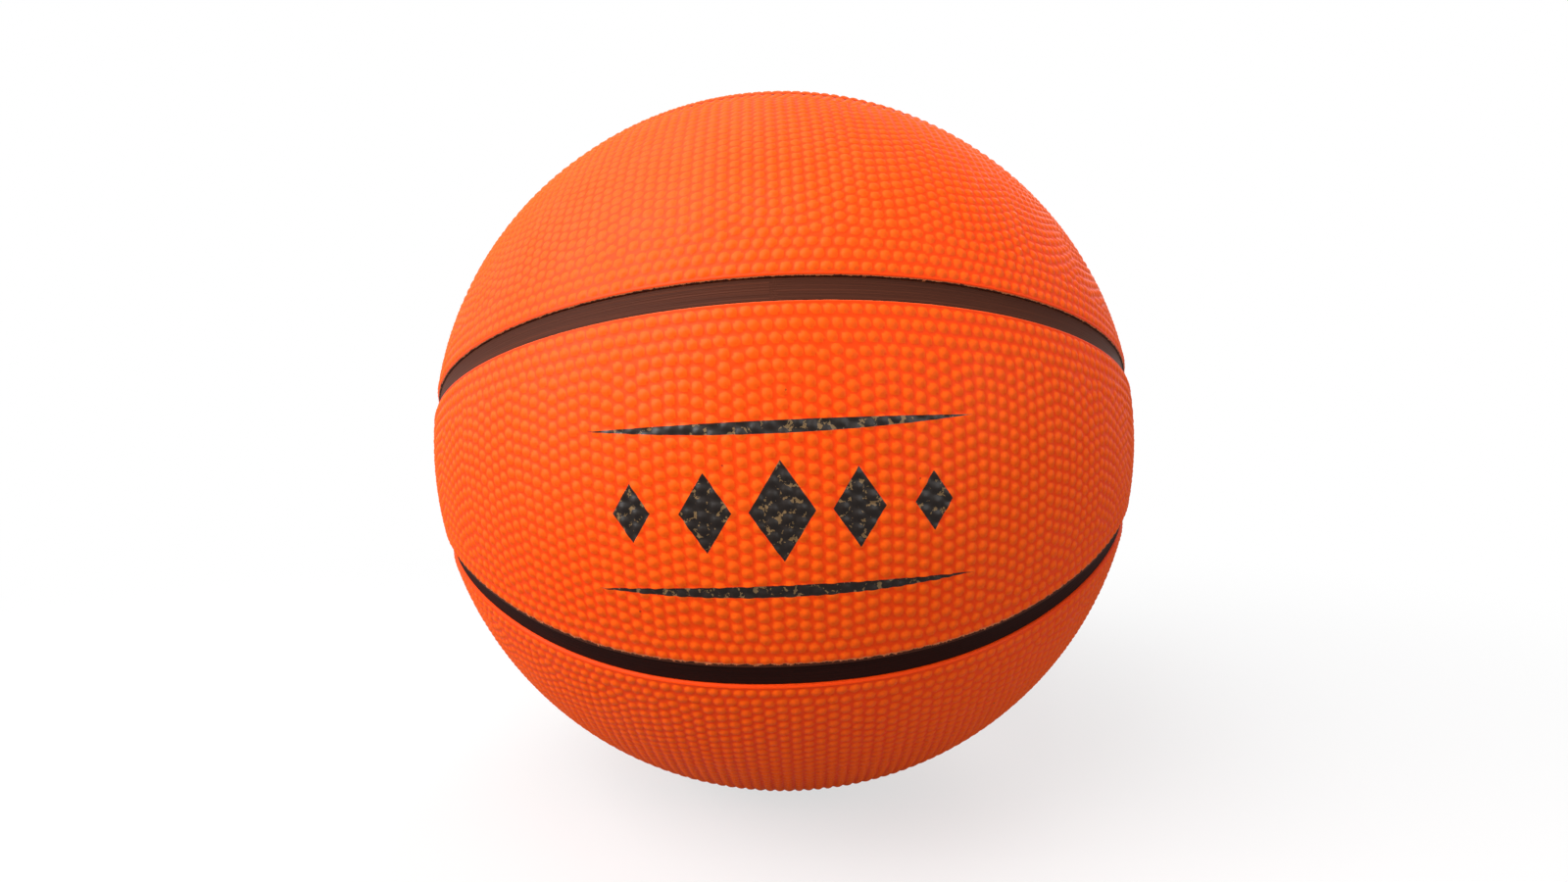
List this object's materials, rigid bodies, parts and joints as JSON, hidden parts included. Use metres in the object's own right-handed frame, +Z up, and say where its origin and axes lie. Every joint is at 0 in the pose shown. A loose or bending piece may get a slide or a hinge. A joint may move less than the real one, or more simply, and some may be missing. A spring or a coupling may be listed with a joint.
{
  "type": "light-up ball",
  "caption": "Small pebbled rubber basketball with dark channelled seams and two slide-out light modules behind rubber plugs.",
  "frame": {"origin": "centre of the ball", "axes": "+Z up as the ball lies in the picture, -Y towards the viewer, +X to the viewer's right; the straight seam leans back by 15.6 degrees and drops on its left by 2.5 degrees"},
  "size_m": [0.18, 0.18, 0.1794],
  "materials": {
    "cover_rubber": "satin orange moulded rubber with domed pebbles",
    "seam_rubber": "brown-black satin rubber with fine lengthwise lines",
    "wound_thread": "rubber-coated wound nylon thread",
    "bladder_rubber": "smooth black butyl rubber",
    "black_rubber": "matt black rubber",
    "clear_rubber": "milky translucent rubber",
    "white_plastic": "white moulded plastic",
    "clear_plastic": "clear moulded plastic",
    "red_led_resin": "red tinted epoxy",
    "board_laminate": "green solder mask",
    "nickel_steel": "nickel-plated steel",
    "brass": "plain brass"
  },
  "bodies": {
    "ball": {"lens_panel_top_front": "cover_rubber", "lens_panel_top_back": "cover_rubber", "lens_panel_bottom_front": "cover_rubber", "lens_panel_bottom_back": "cover_rubber", "cap_panel_top_front": "cover_rubber", "cap_panel_top_back": "cover_rubber", "cap_panel_bottom_front": "cover_rubber", "cap_panel_bottom_back": "cover_rubber", "seam_strip_straight": "seam_rubber", "seam_strip_bow_top": "seam_rubber", "seam_strip_bow_bottom": "seam_rubber", "seam_strip_over_top": "seam_rubber", "seam_strip_over_bottom": "seam_rubber", "seam_strip_right_upper": "seam_rubber", "seam_strip_right_lower": "seam_rubber", "seam_strip_left_upper": "seam_rubber", "seam_strip_left_lower": "seam_rubber", "thread_winding": "wound_thread", "bladder": "bladder_rubber", "valve_housing": "black_rubber", "valve_core": "clear_rubber", "light_pocket_upper": "clear_rubber", "light_pocket_lower": "clear_rubber"},
    "plug_upper": {"access_plug_upper": "black_rubber"},
    "plug_lower": {"access_plug_lower": "black_rubber"},
    "module_upper": {"module_housing_upper": "white_plastic", "module_cap_upper": "white_plastic", "lens_dome_upper": "clear_plastic", "led_upper": "red_led_resin", "circuit_board_upper": "board_laminate", "cell_contact_upper": "brass", "button_cell_upper_1": "nickel_steel", "button_cell_upper_2": "nickel_steel", "button_cell_upper_3": "nickel_steel", "cap_spring_upper": "nickel_steel", "switch_pin_upper": "brass"},
    "module_lower": {"module_housing_lower": "white_plastic", "module_cap_lower": "white_plastic", "lens_dome_lower": "clear_plastic", "led_lower": "red_led_resin", "circuit_board_lower": "board_laminate", "cell_contact_lower": "brass", "button_cell_lower_1": "nickel_steel", "button_cell_lower_2": "nickel_steel", "button_cell_lower_3": "nickel_steel", "cap_spring_lower": "nickel_steel", "switch_pin_lower": "brass"},
    "shaker_upper": {"switch_spring_upper": "nickel_steel"},
    "shaker_lower": {"switch_spring_lower": "nickel_steel"}
  },
  "joints": [
    {"name": "module_slide_upper", "type": "slide", "parent": "ball", "child": "module_upper", "axis": [0.6513, -0.2139, 0.728], "range_m": [0, 0.0525]},
    {"name": "module_slide_lower", "type": "slide", "parent": "ball", "child": "module_lower", "axis": [-0.6513, 0.2139, -0.728], "range_m": [0, 0.0525]},
    {"name": "plug_pull_upper", "type": "slide", "parent": "ball", "child": "plug_upper", "axis": [0.6513, -0.2139, 0.728], "range_m": [0, 0.07]},
    {"name": "plug_pull_lower", "type": "slide", "parent": "ball", "child": "plug_lower", "axis": [-0.6513, 0.2139, -0.728], "range_m": [0, 0.07]},
    {"name": "switch_shake_upper", "type": "hinge", "parent": "module_upper", "child": "shaker_upper", "pos_m": [0.03602, -0.01135, 0.03697], "axis": [0.1603, 0.9766, 0.1435], "range_deg": [-4, 4], "stiffness_Nm_per_rad": 0.0001},
    {"name": "switch_shake_lower", "type": "hinge", "parent": "module_lower", "child": "shaker_lower", "pos_m": [-0.0349, 0.01318, -0.03743], "axis": [0.7225, 0.4682, -0.5088], "range_deg": [-4, 4], "stiffness_Nm_per_rad": 0.0001}
  ],
  "couplings": [
    {"joint": "plug_pull_upper", "follows": "module_slide_upper", "ratio": 1.3333},
    {"joint": "plug_pull_lower", "follows": "module_slide_lower", "ratio": 1.3333}
  ]
}
